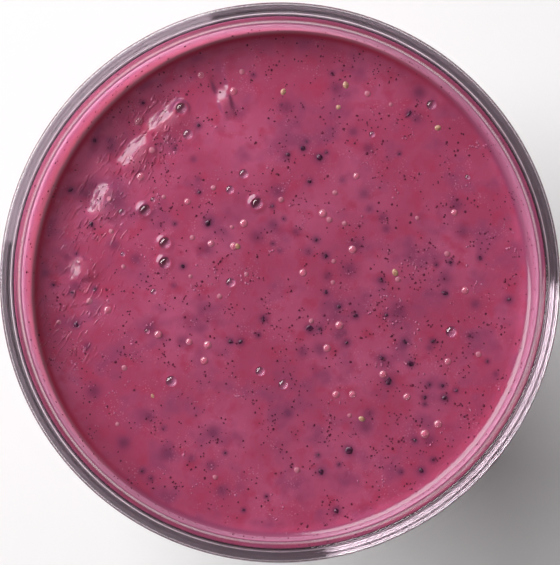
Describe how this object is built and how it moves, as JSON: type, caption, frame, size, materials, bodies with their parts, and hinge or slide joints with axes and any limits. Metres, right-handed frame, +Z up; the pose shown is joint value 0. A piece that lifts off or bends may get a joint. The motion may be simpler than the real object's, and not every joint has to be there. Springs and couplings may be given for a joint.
{
  "type": "berry smoothie",
  "caption": "Thick pink-purple berry smoothie with bubbles, seeds and skin flecks, in a plain round tumbler of clear glass.",
  "frame": {"origin": "middle of the flat ring that the glass stands on, at the level of the table", "axes": "+Z up along the axis of the glass, +X and +Y level"},
  "size_m": [0.084, 0.084, 0.118],
  "materials": {
    "clear_glass": "polished",
    "smoothie": "gloss",
    "bubble_film": "polished",
    "berry_seed": "gloss",
    "berry_skin": "gloss"
  },
  "bodies": {
    "root": {"glass": "clear_glass", "smoothie": "smoothie"}
  },
  "joints": []
}
